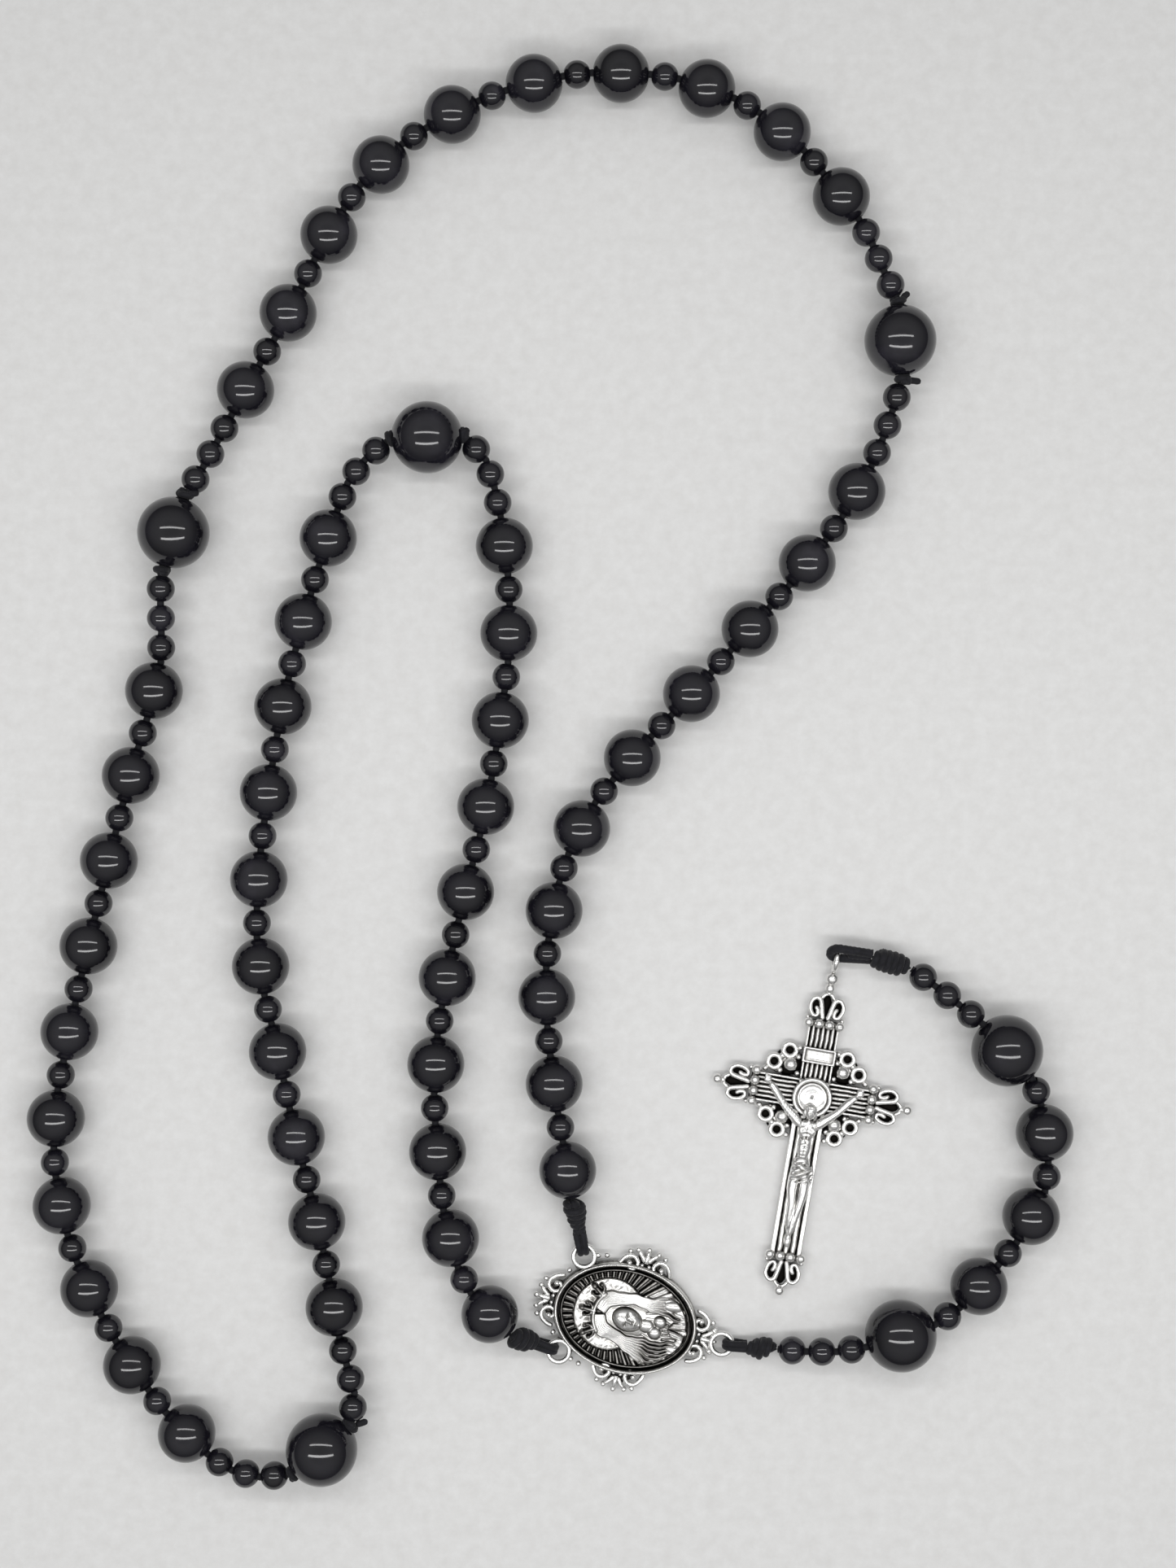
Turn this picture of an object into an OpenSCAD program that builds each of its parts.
// A five-decade rosary, laid flat: onyx beads threaded on a knotted cord, an oval
// centre medal that joins the loop to the pendant, and a cast crucifix.
// X is to the right, Y is away from the reader and Z is up. The beads rest on z = 0.

/* [Beads] */
// Diameter of an Ave bead
ave_d = 8; // [7.6:0.1:8]
// Diameter of a Pater bead
pater_d = 10; // [9:0.1:10]
// Diameter of a spacer bead
spacer_d = 3.9; // [3.6:0.1:4]
// Diameter of the hole through every bead
bore_d = 1.2; // [1.1:0.05:1.3]

/* [Cord] */
// Diameter of the braided cord
cord_d = 1; // [0.8:0.05:1]
// Width of the knot on each side of a Pater bead
knot_d = 2.4; // [2:0.1:2.6]
// Length of cord that such a knot takes up
knot_l = 1.2; // [1.1:0.05:1.3]

/* [Medal] */
// Width of the oval without its ornaments
medal_w = 15.6; // [15:0.1:16]
// Length of the oval without its ornaments
medal_l = 20.6; // [20:0.1:21]
// Thickness at the rim
medal_t = 2.3; // [2:0.1:2.6]

/* [Crucifix] */
// Width of the vertical beam
beam_w = 4.4; // [4:0.1:4.8]
// Width of the cross beam
arm_w = 4.1; // [3.8:0.1:4.5]
// Thickness of both beams
beam_t = 1.6; // [1.4:0.1:1.8]
// Distance from the crossing to the outer ball of each arm
arm_l = 13.5; // [13:0.1:14]
// Distance from the crossing to the lowest ball
foot_l = 27.9; // [27:0.1:29]

/* [Hidden] */
$fn = 32;
// Smallest clearance between two pieces
tiny = 0.05;
ave_z = ave_d / 2;
pater_z = pater_d / 2;

// Small rings that the cord is tied to: centreline radius, wire radius, height
ring_r = 1.5;
wire_r = 0.4;
medal_ring_z = 1.55;
cross_ring_z = ring_r + wire_r + tiny;
// Radius of a cord loop's bend round a ring's wire
bend_r = wire_r + cord_d / 2 + 2 * tiny;

// Where the medal lies, and how far it is turned
medal_at = [10.6, -76.7];
medal_turn = 75;
side_ring = [6.9, 7.8];
foot_ring = [0, -14];
// Where the crucifix's ring lies, and how far the crucifix leans
cross_ring_at = [40.1, -26.4];
cross_lean = 9.6;
// Distance from the crossing to the ring's centre
cross_ring_l = 19.2;

function turned(p, a) = [p.x * cos(a) - p.y * sin(a), p.x * sin(a) + p.y * cos(a)];
function unit(v) = v / norm(v);
function flat(p, z) = [p.x, p.y, z];

right_ring = medal_at + turned(side_ring, medal_turn);
left_ring = medal_at + turned([-side_ring.x, side_ring.y], medal_turn);
low_ring = medal_at + turned(foot_ring, medal_turn);

// The loop's route across the table, from the medal's right ring to its left one,
// as five runs of beads with a Pater bead between each two
runs = [
    [[3.5, -61], [2.5, -55], [0.5, -42.5], [-0.5, -29.5], [1, -17], [5, -6.5], [12, 2.5],
     [20, 11], [28, 20], [36, 29], [43, 39], [47, 48]],
    [[47, 68.5], [44, 75.5], [40.5, 80.5], [32.5, 89.5], [22, 95.5], [9.5, 97.5],
     [-2.5, 96], [-14, 91.5], [-24, 84.5], [-31, 74.5], [-36.5, 63.5], [-42.5, 53],
     [-47.5, 43.5]],
    [[-54, 25], [-54, 16.5], [-55, 11], [-58.5, -1], [-61.5, -13], [-64.5, -25.5],
     [-67, -37], [-69, -49], [-68, -61], [-64, -72.5], [-58, -83], [-50, -93],
     [-41.5, -98]],
    [[-27, -88], [-29, -80], [-30, -74], [-32.5, -62], [-35.5, -50], [-38, -38],
     [-40.5, -26.5], [-40.5, -14.5], [-39, -2], [-37, 10], [-34, 22], [-30.5, 33.5],
     [-26.5, 42.5]],
    [[-9.5, 44.5], [-7, 36.5], [-6, 30.5], [-5.5, 18.5], [-7, 6], [-9, -6], [-12, -18],
     [-14.5, -30], [-16, -41.5], [-15.5, -54], [-14, -65], [-11, -72.5], [-6.5, -78]]
];
paters = [[50, 60], [-53, 33.5], [-30.5, -95.5], [-17, 48.5]];
// The pendant's route, from the medal's low ring to the crucifix
pendant_route = [
    [34.5, -81], [42, -80.5], [49, -78], [55.5, -76], [60, -71.5], [64, -67], [67.5, -62],
    [69.5, -56.5], [69, -50.5], [68, -44.5], [64.5, -39], [59, -34], [52, -28.5],
    [49.5, -27], [46, -26]
];
// Cord between each ring's wire and the nearest bead, where the cord is tied off
right_tie = 7.2;
left_tie = 6;
low_tie = 6.4;
cross_tie = 10.7;
// The part of each tie that is an open loop, before its wrapped knot
side_loop = 2;
low_loop = 2;
cross_loop = 4.8;

function pull(ring, towards) = ring + ring_r * unit(towards - ring);
right_wire = pull(right_ring, runs[0][0]);
left_wire = pull(left_ring, runs[4][len(runs[4]) - 1]);
low_wire = pull(low_ring, pendant_route[0]);
// The crucifix's ring stands on edge, and the cord holds it half way up its far side
cross_up = turned([0, 1], -cross_lean);
cross_wire = cross_ring_at + ring_r * cos(45) * cross_up;
cross_wire_z = cross_ring_z + ring_r * sin(45);

loop_points = concat(
    [right_wire], runs[0], [paters[0]], runs[1], [paters[1]], runs[2], [paters[2]],
    runs[3], [paters[3]], runs[4], [left_wire]
);
pendant_points = concat([low_wire], pendant_route, [cross_wire]);

// A smooth curve through the route's points, and the length run at each of its samples
steps = 12;
function curve(a, b, c, d, t) = b + t * (c - a) / 2 + t * t * (a - 2.5 * b + 2 * c - d / 2)
    + t * t * t * (1.5 * b - 1.5 * c + (d - a) / 2);
function pick(p, i) = p[max(0, min(len(p) - 1, i))];
function smooth(p) = concat(
    [for (i = [0 : len(p) - 2]) for (k = [0 : steps - 1])
        curve(pick(p, i - 1), p[i], p[i + 1], pick(p, i + 2), k / steps)],
    [p[len(p) - 1]]
);
function lengths(v) = [
    for (i = 0, s = 0; i < len(v); s = s + (i < len(v) - 1 ? norm(v[i + 1] - v[i]) : 0), i = i + 1) s
];
loop_curve = smooth(loop_points);
loop_s = lengths(loop_curve);
pendant_curve = smooth(pendant_points);
pendant_s = lengths(pendant_curve);

// Where each loop Pater sits along the route
pater_index = [
    1 + len(runs[0]),
    2 + len(runs[0]) + len(runs[1]),
    3 + len(runs[0]) + len(runs[1]) + len(runs[2]),
    4 + len(runs[0]) + len(runs[1]) + len(runs[2]) + len(runs[3])
];
function pater_s(i) = loop_s[pater_index[i] * steps];

// Bead sizes along each run: ten Aves with a spacer between, and three spacers at a Pater
end_spacers = 3;
function run_pattern(k) = concat(
    k > 0 ? [for (i = [1 : end_spacers]) spacer_d] : [],
    [for (i = [0 : 18]) i % 2 == 0 ? ave_d : spacer_d],
    k < 4 ? [for (i = [1 : end_spacers]) spacer_d] : []
);
pendant_pattern = [
    spacer_d, spacer_d, spacer_d, pater_d, spacer_d, ave_d, spacer_d, ave_d, spacer_d,
    ave_d, spacer_d, pater_d, spacer_d, spacer_d, spacer_d
];
function sum(v, n) = n <= 0 ? 0 : v[n - 1] + sum(v, n - 1);

// A run is [where its first bead starts, where its last bead ends, sizes, extra length
// to the bend before it, extra length to the bend after it]
function run(k) = [
    k == 0 ? right_tie : pater_s(k - 1) + pater_d / 2 + knot_l,
    k == 4 ? loop_s[len(loop_s) - 1] - left_tie : pater_s(k) - pater_d / 2 - knot_l,
    run_pattern(k),
    k == 0 ? 0 : knot_l / 2,
    k == 4 ? 0 : knot_l / 2
];
pendant_run = [low_tie, pendant_s[len(pendant_s) - 1] - cross_tie, pendant_pattern, 0, 0];
all_runs = [for (k = [0 : 4]) run(k)];

function count(r) = len(r[2]);
// The beads of a run share what length is left over as equal gaps
function gap(r) = (r[1] - r[0] - sum(r[2], count(r))) / (count(r) - 1);
function bead_s(r, j) = r[0] + sum(r[2], j) + j * gap(r) + r[2][j] / 2;
// The cord bends only in the gaps: bend j is just before bead j
function bend_s(r, j) = j == 0 ? r[0] - r[3]
    : j == count(r) ? r[1] + r[4]
    : r[0] + sum(r[2], j) + (j - 0.5) * gap(r);

// Height of the cord: level through Aves and Paters, sloping through the end spacers
side_knot_z = 1.9;
loop_z = concat(
    [[0, medal_ring_z], [side_loop, side_knot_z]],
    [for (k = [0 : 4]) each [
        [bend_s(all_runs[k], 0), k == 0 ? ave_z : pater_z],
        [bend_s(all_runs[k], k == 0 ? 1 : end_spacers), ave_z],
        [bend_s(all_runs[k], count(all_runs[k]) - (k == 4 ? 1 : end_spacers)), ave_z],
        [bend_s(all_runs[k], count(all_runs[k])), k == 4 ? ave_z : pater_z]
    ]],
    [[loop_s[len(loop_s) - 1] - side_loop, side_knot_z], [loop_s[len(loop_s) - 1], medal_ring_z]]
);
knot_low_z = 1.8;
first_bead_z = 2.15;
last_bead_z = 2.7;
pendant_z = [
    [0, medal_ring_z], [low_loop, knot_low_z], [bend_s(pendant_run, 0), first_bead_z],
    [bend_s(pendant_run, 3), pater_z], [bend_s(pendant_run, 4), pater_z],
    [bend_s(pendant_run, 5), ave_z], [bend_s(pendant_run, 10), ave_z],
    [bend_s(pendant_run, 11), pater_z], [bend_s(pendant_run, 12), pater_z],
    [bend_s(pendant_run, 15), last_bead_z],
    [pendant_s[len(pendant_s) - 1] - cross_loop, cross_wire_z],
    [pendant_s[len(pendant_s) - 1], cross_wire_z]
];
function table(s, v, axis) = [for (i = [0 : len(s) - 1]) [s[i], v[i][axis]]];
loop_x = table(loop_s, loop_curve, 0);
loop_y = table(loop_s, loop_curve, 1);
pendant_x = table(pendant_s, pendant_curve, 0);
pendant_y = table(pendant_s, pendant_curve, 1);
function on_loop(s) = [lookup(s, loop_x), lookup(s, loop_y), lookup(s, loop_z)];
function on_pendant(s) = [lookup(s, pendant_x), lookup(s, pendant_y), lookup(s, pendant_z)];

// Each bend of a run, as a point; and each bead as [centre, direction of its hole, size]
bends = [for (k = [0 : 4]) [for (j = [0 : count(all_runs[k])]) on_loop(bend_s(all_runs[k], j))]];
pendant_bends = [for (j = [0 : count(pendant_run)]) on_pendant(bend_s(pendant_run, j))];
function between(a, b, f) = a + (b - a) * f;
function bead(r, points, j) = let (
        f = (bead_s(r, j) - bend_s(r, j)) / (bend_s(r, j + 1) - bend_s(r, j))
    ) [between(points[j], points[j + 1], f), unit(points[j + 1] - points[j]), r[2][j]];
function loop_bead(k, j) = bead(all_runs[k], bends[k], j);
function pendant_bead(j) = bead(pendant_run, pendant_bends, j);
function last(v) = v[len(v) - 1];
function loop_pater(i) = let (a = last(bends[i]), b = bends[i + 1][0])
    [between(a, b, 0.5), unit(b - a), pater_d];

// Beads of each rigid part of the loop, as [run, first bead, last bead]
table_beads = [[0, 8, 19], [1, 21, 24], [2, 0, 9], [3, 11, 15], [4, 9, 9]];
top_beads = [[0, 21, 21], [1, 0, 3], [1, 17, 19]];
crown_beads = [[1, 5, 15]];
side_beads = [[2, 11, 15], [3, 5, 9]];
tip_beads = [[2, 17, 24], [3, 0, 3]];
arch_beads = [[3, 17, 24], [4, 0, 7]];
medal_beads = [[0, 0, 6], [4, 11, 21]];
// Cord of each part, as [run and bend it starts at, run and bend it ends at]
table_cord = [[0, 8, 0, 20], [1, 21, 2, 10], [3, 11, 3, 16], [4, 9, 4, 10]];
top_cord = [[0, 21, 1, 4], [1, 17, 1, 20]];
crown_cord = [[1, 5, 1, 16]];
side_cord = [[2, 11, 2, 16], [3, 5, 3, 10]];
tip_cord = [[2, 17, 3, 4]];
arch_cord = [[3, 17, 4, 8]];
medal_cord = [[0, 0, 0, 7], [4, 11, 4, 22]];

// Puts its children at p with their Z along d
module along(p, d) {
    translate(p)
        rotate([0, acos(d.z), atan2(d.y, d.x)])
            children();
}

module drilled_bead(b) {
    along(b[0], b[1])
        difference() {
            sphere(d = b[2]);
            cylinder(d = bore_d, h = b[2] + 1, center = true);
        }
}

// The beads of one size in a list of stretches
module beads(stretches, size) {
    for (s = stretches)
        for (j = [s[1] : s[2]])
            if (run_pattern(s[0])[j] == size)
                drilled_bead(loop_bead(s[0], j));
}

module ave_beads(stretches) {
    color([0.16, 0.15, 0.19]) beads(stretches, ave_d);
}

module spacer_beads(stretches) {
    color([0.17, 0.16, 0.2]) beads(stretches, spacer_d);
}

module one_bead(b) {
    color([0.16, 0.15, 0.19]) drilled_bead(b);
}

// An eight-sided tube through a row of points; side is a direction across a route
// that stands on edge
sides = 8;
module tube(points, r = cord_d / 2, side = undef) {
    n = len(points);
    function tangent(i) = unit(points[min(n - 1, i + 1)] - points[max(0, i - 1)]);
    function ring(i) = let (
            t = tangent(i),
            across = is_undef(side) ? unit(cross([0, 0, 1], t)) : side,
            up = cross(t, across)
        ) [for (k = [0 : sides - 1])
            points[i] + r * (cos(360 * k / sides) * across + sin(360 * k / sides) * up)];
    corners = [for (i = [0 : n - 1]) each ring(i)];
    walls = [for (i = [0 : n - 2]) for (k = [0 : sides - 1]) each [
        [i * sides + k, (i + 1) * sides + k, (i + 1) * sides + (k + 1) % sides],
        [i * sides + k, (i + 1) * sides + (k + 1) % sides, i * sides + (k + 1) % sides]
    ]];
    first = [for (k = [0 : sides - 1]) k];
    end = [for (k = [sides - 1 : -1 : 0]) (n - 1) * sides + k];
    polyhedron(concat(corners), concat([first], walls, [end]));
}

// The bends from one place on the loop to another, through the Pater between two runs
function bends_between(c) = c[0] == c[2]
    ? [for (j = [c[1] : c[3]]) bends[c[0]][j]]
    : concat(
        [for (j = [c[1] : len(bends[c[0]]) - 1]) bends[c[0]][j]],
        [for (j = [0 : c[3]]) bends[c[2]][j]]
    );

module cord(stretches) {
    color([0.1, 0.1, 0.12])
        for (c = stretches)
            tube(bends_between(c));
}

// A cord's loop round the wire of a ring, open towards the knot that closes it:
// w is on the wire, out is the way to the knot, n is across the loop
module tie_loop(w, knot, n) {
    out = unit(knot - w);
    leg = cord_d / 2 + tiny;
    tube(concat(
        [knot + leg * n],
        [for (a = [80 : -20 : -80]) w + bend_r * (sin(a) * n - cos(a) * out)],
        [knot - leg * n]
    ), side = unit(cross(n, out)));
}

// A knot beside a Pater bead, with the cord running through it
module small_knot(p, d) {
    hole_r = cord_d / 2 + 3 * tiny;
    shoulder_r = 0.75 * knot_d / 2;
    half_l = knot_l / 2 - tiny;
    half_belly = 0.2;
    half_hole = 0.4;
    along(p, d)
        rotate_extrude()
            polygon([
                [hole_r, -half_hole], [shoulder_r, -half_l], [knot_d / 2, -half_belly],
                [knot_d / 2, half_belly], [shoulder_r, half_l], [hole_r, half_hole]
            ]);
}

// A knot, pressed flat where it meets these beads
module against(beads) {
    difference() {
        children();
        for (b = beads)
            translate(b[0])
                sphere(d = b[2] + 4 * tiny);
    }
}

// The two knots of a Pater, as close as they go to its holes
module pater_knots(i) {
    b = loop_pater(i);
    bead_before = loop_bead(i, count(all_runs[i]) - 1);
    bead_after = loop_bead(i + 1, 0);
    color([0.1, 0.1, 0.12]) {
        against([b, bead_before])
            small_knot(last(bends[i]), unit(b[0] - bead_before[0]));
        against([b, bead_after])
            small_knot(bends[i + 1][0], unit(bead_after[0] - b[0]));
    }
}

// A knot of several wraps, turned along knot: each entry of wraps is [share of the
// knot's length, radius there]. It starts clear of the tie's legs and ends at a bead.
module wrapped_knot(knot, wraps, clear, bead) {
    d = unit(knot[1] - knot[0]);
    a = knot[0] + clear * d;
    l = norm(knot[1] - a) - 4 * tiny;
    color([0.1, 0.1, 0.12])
        against([bead])
            along(a, d)
                rotate_extrude()
                    polygon(concat([[0, 0]], [for (w = wraps) [w[1], w[0] * l]], [[0, l]]));
}

// Where the wrapped knots start and end
right_knot = [on_loop(side_loop), on_loop(right_tie - 2 * tiny)];
left_knot = [on_loop(last(loop_s) - side_loop), on_loop(last(loop_s) - left_tie + 2 * tiny)];
low_knot = [on_pendant(low_loop), on_pendant(low_tie - 2 * tiny)];
cross_knot = [on_pendant(last(pendant_s) - cross_loop), on_pendant(last(pendant_s) - cross_tie + 2 * tiny)];
tapered_wraps = [[0, 1], [0.3, 1.05], [0.55, 1.25], [0.8, 1.45], [1, 1]];
short_wraps = [[0, 1], [0.3, 1.4], [0.8, 1.5], [1, 1.1]];
diamond_wraps = [[0, 1.05], [0.5, 1.7], [0.75, 1.35], [1, 0.7]];
barrel_wraps = [[0, 1.3], [0.2, 1.65], [0.75, 1.65], [1, 1]];

module oval(w, l, h) {
    linear_extrude(h)
        polygon([for (a = [0 : 7.5 : 352.5]) [w / 2 * cos(a), l / 2 * sin(a)]]);
}

module donut(r, wire) {
    rotate_extrude()
        translate([r, 0])
            circle(r = wire, $fn = 16);
}

// A scroll-and-flower ornament, its middle at the origin and its outside along +Y
module ornament() {
    scroll_r = 0.95;
    scroll_wire = 0.36;
    scroll_at = [2, -0.25, 1.3];
    flower_r = 0.62;
    flower_at = [0, 0.5, 1.3];
    granule_r = 0.42;
    granules = [[1.15, 1.15, 1.25], [2.75, 0.95, 1.15]];
    tip_at = [0, 1.5, 1.25];
    web = [3.2, 1.7, 1];
    web_at = [-web.x / 2, -1, 0.6];
    for (side = [-1, 1]) {
        translate([side * scroll_at.x, scroll_at.y, scroll_at.z]) donut(scroll_r, scroll_wire);
        for (p = granules)
            translate([side * p.x, p.y, p.z]) sphere(r = granule_r);
    }
    translate(flower_at) sphere(r = flower_r);
    translate(tip_at) sphere(r = granule_r);
    translate(web_at) cube(web);
}

// Cast oval medal, with its three rings
rim_w = 0.75;
field_t = 1.2;
// The plain disc behind the bust, and the ornaments round the rim
disc_r = 5.2;
disc_y = 2.6;
disc_t = field_t + 0.3;
side_ornament_y = -0.9;
module medal() {
    color([0.62, 0.62, 0.61])
        translate(flat(medal_at, 0))
            rotate(medal_turn) {
                oval(medal_w, medal_l, field_t);
                difference() {
                    oval(medal_w, medal_l, medal_t);
                    translate([0, 0, -1])
                        oval(medal_w - 2 * rim_w, medal_l - 2 * rim_w, medal_t + 2);
                }
                translate([0, disc_y, 0]) cylinder(r = disc_r, h = disc_t);
                bust();
                translate([0, medal_l / 2 + 0.6, 0]) ornament();
                for (side = [-1, 1])
                    translate([side * (medal_w / 2 + 0.3), side_ornament_y, 0])
                        rotate(-90 * side)
                            ornament();
                translate([0, -medal_l / 2 - 0.6, 0]) rotate(180) ornament();
                for (p = [side_ring, [-side_ring.x, side_ring.y], foot_ring])
                    translate(flat(p, medal_ring_z)) donut(ring_r, wire_r);
            }
}

// A veiled and crowned lady in low relief, with her hands joined
module bust() {
    head_r = 1.6;
    head_at = [0, 0.6, 1.7];
    robe_at = [0, -5, 0.6];
    veil_at = [0, -1.8, 0.6];
    hands_r = 1.1;
    hands_at = [0, -7, 1.6];
    // The crown's points stand round the head like a fan
    crown_r = 5.2;
    crown_z = 1.4;
    point_r = 0.7;
    translate(head_at) sphere(r = head_r);
    translate(robe_at) cylinder(r1 = 4, r2 = 2.2, h = 1.5);
    translate(veil_at) cylinder(r1 = 3.6, r2 = 2.6, h = 1.2);
    translate(hands_at) sphere(r = hands_r);
    for (a = [-32, 0, 32])
        translate([crown_r * sin(a), 0.4 + crown_r * cos(a), crown_z]) sphere(r = point_r);
}

// A row of four balls across the end of a beam
ball_r = 0.62;
ball_pitch = 1.47;
ball_z = 1.2;
bar = [4.8, 0.7, 1.1];
module ball_row() {
    for (i = [-1.5 : 1 : 1.5])
        translate([i * ball_pitch, 0, ball_z]) sphere(r = ball_r);
    translate([-bar.x / 2, -bar.y / 2, 0]) cube(bar);
}

// A scrolled beam end past its ball row, with a stem of the given length along +Y
module scroll_end(l) {
    large_at = [1.35, 1.9, 1];
    small_at = [0.95, 3.1, 1];
    stem = [0.8, l - 0.5, 0.9];
    stem_at = [-stem.x / 2, 0.2, 0.5];
    tip_r = 0.72;
    tip_z = 1.1;
    for (side = [-1, 1]) {
        translate([side * large_at.x, large_at.y, large_at.z]) donut(0.85, 0.36);
        translate([side * small_at.x, small_at.y, small_at.z]) donut(0.55, 0.32);
    }
    translate(stem_at) cube(stem);
    translate([0, l, tip_z]) sphere(r = tip_r);
}

// Cast crucifix, its back flat on the table
row_top = 10;
row_foot = -23;
row_arm = 8.3;
// The ball under the ring, the halo disc and the blank plate above it
top_l = 5.1;
neck_y = row_top + 6.5;
neck_z = 1.6;
neck_r = 0.95;
halo_r = 2.8;
halo_y = -0.4;
plate = [4.6, 2.2, beam_t + 0.45];
plate_y = 4.4;
module crucifix() {
    color([0.62, 0.62, 0.61])
        translate(flat(cross_ring_at - cross_ring_l * cross_up, 0))
            rotate(-cross_lean) {
                translate([-beam_w / 2, row_foot, 0]) cube([beam_w, row_top - row_foot, beam_t]);
                translate([-row_arm, -arm_w / 2, 0]) cube([2 * row_arm, arm_w, beam_t]);
                translate([0, row_top, 0]) {
                    ball_row();
                    scroll_end(top_l);
                }
                translate([0, neck_y, neck_z]) sphere(r = neck_r);
                translate([0, row_foot, 0]) rotate(180) {
                    ball_row();
                    scroll_end(foot_l + row_foot);
                }
                for (side = [-1, 1])
                    translate([side * row_arm, 0, 0]) rotate(-90 * side) {
                        ball_row();
                        scroll_end(arm_l - row_arm);
                    }
                for (x = [-1, 1])
                    for (y = [-1, 1])
                        scale([x, y, 1]) corner_fan();
                translate([0, halo_y, 0]) cylinder(r = halo_r, h = beam_t + 0.35);
                translate([-plate.x / 2, plate_y, 0]) cube(plate);
                corpus();
                translate([0, cross_ring_l, cross_ring_z]) rotate([0, 90, 0]) donut(ring_r, wire_r);
            }
}

// The open-work scrolls that fill one corner between the beams
module corner_fan() {
    scroll_r = 0.95;
    scroll_wire = 0.36;
    translate([3.6, 3.6, 1]) sphere(r = 0.92);
    translate([4.15, 5.5, 0.8]) donut(scroll_r, scroll_wire);
    translate([6.05, 3.6, 0.8]) donut(scroll_r, scroll_wire);
    translate([2.7, 2.6, 0.2]) cylinder(r = 1.1, h = 0.9);
    translate([5, 4.3, 0.35]) cylinder(r = 0.8, h = 0.8);
}

// A round limb from a to b
module limb(a, b, r1, r2) {
    along(a, unit(b - a)) cylinder(r1 = r1, r2 = r2, h = norm(b - a));
}

// The figure on the crucifix
module corpus() {
    body_z = 2;
    end_z = body_z - 0.2;
    head = [0, -2.5, 2.7];
    chest = [0, -4.5, body_z];
    hips = [0, -10.6, body_z];
    ankles = [0, -20, end_z];
    feet = [0, -20.7, end_z];
    shoulder = [0.9, -4.2];
    wrist = [6.6, 1.1];
    hand = [6.8, 1.3];
    translate(head) sphere(r = 1.05);
    translate(chest) sphere(r = 1.45);
    limb([0, -3.9, body_z], [0, -9, body_z], 1.35, 0.95);
    translate(hips) sphere(r = 1.5);
    limb([0, -10.4, body_z], ankles, 1.15, 0.6);
    translate(feet) sphere(r = 0.85);
    for (side = [-1, 1]) {
        limb(
            [side * shoulder.x, shoulder.y, body_z], [side * wrist.x, wrist.y, end_z], 0.66, 0.5
        );
        translate([side * hand.x, hand.y, end_z]) sphere(r = 0.72);
    }
}

module pendant_spacers(list) {
    color([0.17, 0.16, 0.2])
        for (j = list)
            drilled_bead(pendant_bead(j));
}

module pendant_cord(first, end) {
    color([0.1, 0.1, 0.12])
        tube([for (j = [first : end]) pendant_bends[j]]);
}

module ties(list) {
    color([0.1, 0.1, 0.12])
        for (t = list)
            tie_loop(t[0], t[1], t[2]);
}

up = [0, 0, 1];

medal();
crucifix();

ave_beads(table_beads);  // ave_beads_table
ave_beads(top_beads);  // ave_beads_top
ave_beads(crown_beads);  // ave_beads_crown
ave_beads(side_beads);  // ave_beads_side
ave_beads(tip_beads);  // ave_beads_tip
ave_beads(arch_beads);  // ave_beads_arch
ave_beads(medal_beads);  // ave_beads_medal

spacer_beads(table_beads);  // spacer_beads_table
spacer_beads(top_beads);  // spacer_beads_top
spacer_beads(crown_beads);  // spacer_beads_crown
spacer_beads(side_beads);  // spacer_beads_side
spacer_beads(tip_beads);  // spacer_beads_tip
spacer_beads(arch_beads);  // spacer_beads_arch
spacer_beads(medal_beads);  // spacer_beads_medal

cord(table_cord);  // cord_table
cord(top_cord);  // cord_top
cord(crown_cord);  // cord_crown
cord(side_cord);  // cord_side
cord(tip_cord);  // cord_tip
cord(arch_cord);  // cord_arch
union() {  // cord_medal
    cord(medal_cord);
    ties([
        [flat(right_wire, medal_ring_z), right_knot[0], up],
        [flat(left_wire, medal_ring_z), left_knot[0], up]
    ]);
}

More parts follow.
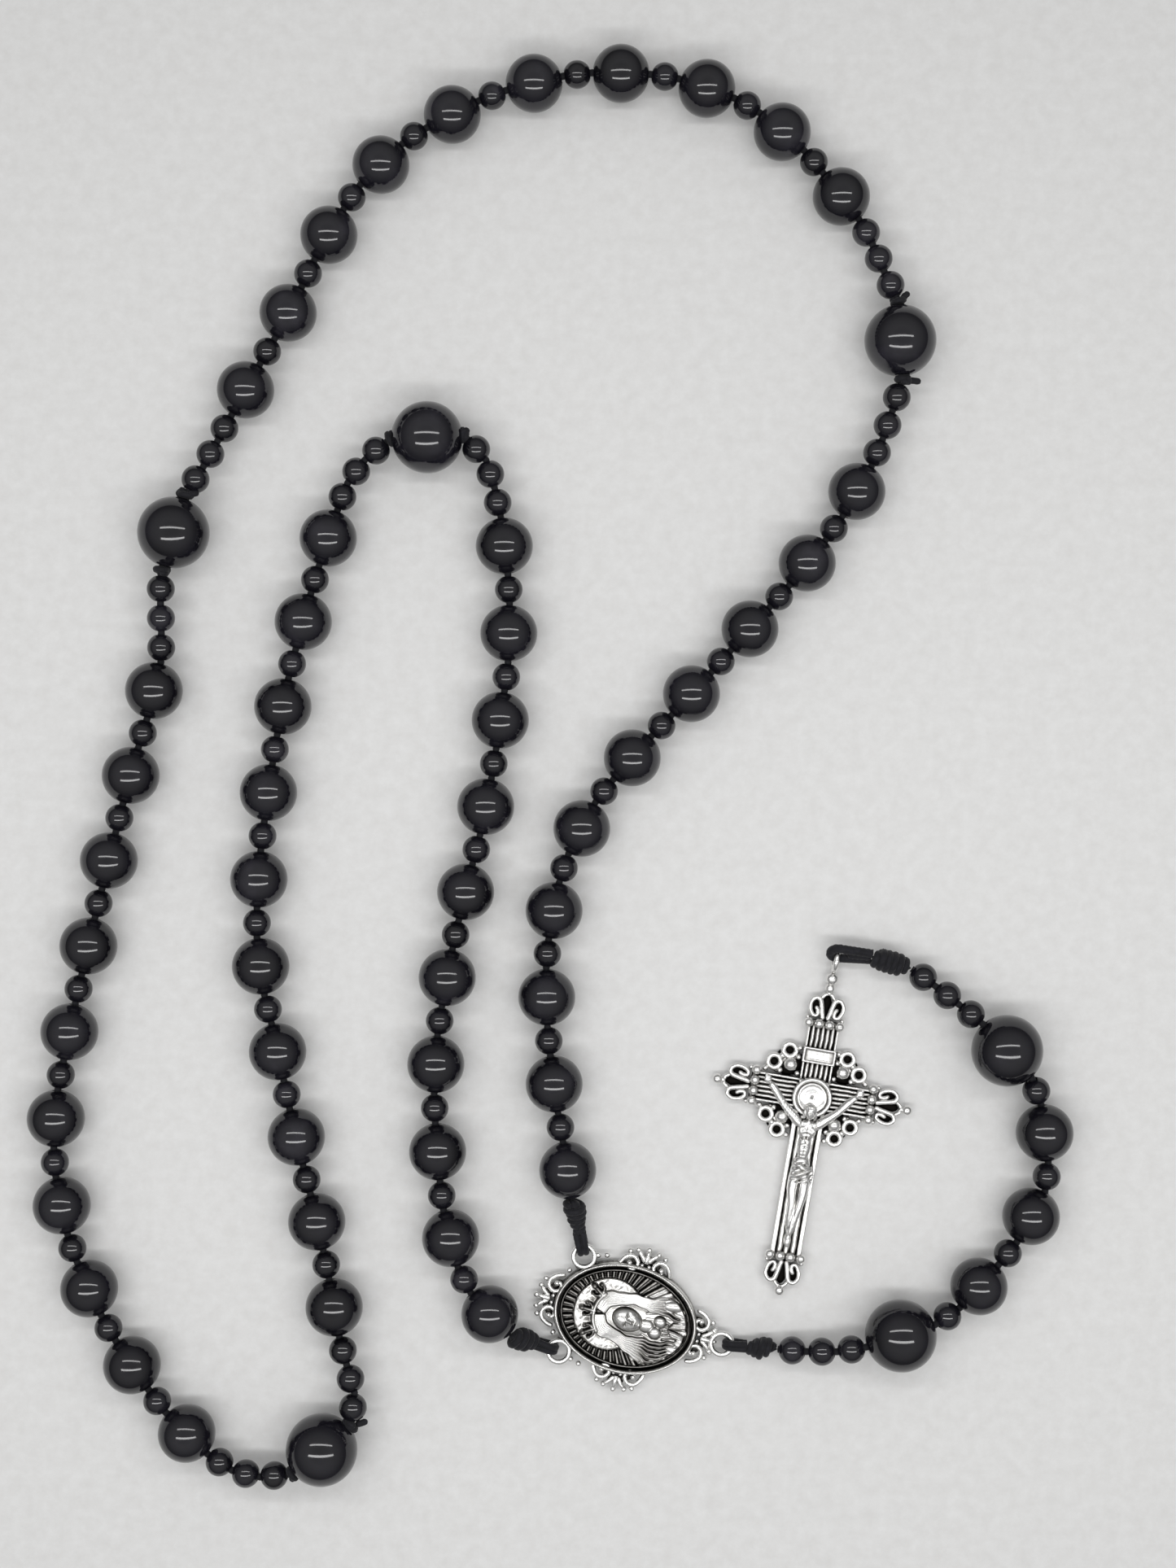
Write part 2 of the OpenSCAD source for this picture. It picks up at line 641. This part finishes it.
spacer_beads([[0, 20, 20], [1, 20, 20]]);  // fold_beads_top
spacer_beads([[1, 4, 4], [1, 16, 16]]);  // fold_beads_crown
spacer_beads([[2, 10, 10], [3, 10, 10]]);  // fold_beads_side
spacer_beads([[2, 16, 16], [3, 4, 4]]);  // fold_beads_tip
spacer_beads([[3, 16, 16], [4, 8, 8]]);  // fold_beads_arch
spacer_beads([[0, 7, 7], [4, 10, 10]]);  // fold_beads_medal

pater_knots(0);  // knots_pater_1
pater_knots(1);  // knots_pater_2
pater_knots(2);  // knots_pater_3
pater_knots(3);  // knots_pater_4
union() {  // wrapped_knots_medal
    wrapped_knot(right_knot, tapered_wraps, 0.5, loop_bead(0, 0));
    wrapped_knot(left_knot, short_wraps, 0.6, loop_bead(4, count(all_runs[4]) - 1));
}

one_bead(loop_pater(0));  // pater_bead_1
one_bead(loop_pater(1));  // pater_bead_2
one_bead(loop_pater(2));  // pater_bead_3
one_bead(loop_pater(3));  // pater_bead_4
one_bead(pendant_bead(3));  // pater_bead_5
one_bead(pendant_bead(11));  // pater_bead_6
one_bead(pendant_bead(5));  // pendant_ave_1
one_bead(pendant_bead(7));  // pendant_ave_2
one_bead(pendant_bead(9));  // pendant_ave_3

union() {  // pendant_cord_1
    pendant_cord(0, 1);
    ties([[flat(low_wire, medal_ring_z), low_knot[0], up]]);
}
wrapped_knot(low_knot, diamond_wraps, 0.2, pendant_bead(0));  // pendant_knot
pendant_spacers([0]);  // pendant_spacer_1
pendant_spacers([1]);  // pendant_bend_bead_1
pendant_spacers([2]);  // pendant_spacer_2
pendant_cord(2, 4);  // pendant_cord_2
pendant_spacers([4]);  // pendant_bend_bead_2
pendant_spacers([6]);  // pendant_spacer_3
pendant_cord(5, 8);  // pendant_cord_3
pendant_spacers([8]);  // pendant_bend_bead_3
pendant_spacers([10]);  // pendant_spacer_4
pendant_cord(9, 12);  // pendant_cord_4
pendant_spacers([12]);  // pendant_bend_bead_4
pendant_spacers([13, 14]);  // pendant_spacers_5
union() {  // pendant_cord_5
    pendant_cord(13, 15);
    ties([[
        flat(cross_wire, cross_wire_z), cross_knot[0],
        unit(cos(45) * flat(cross_up, 0) + sin(45) * up)
    ]]);
}
wrapped_knot(cross_knot, barrel_wraps, 0.3, pendant_bead(count(pendant_run) - 1));  // crucifix_knot
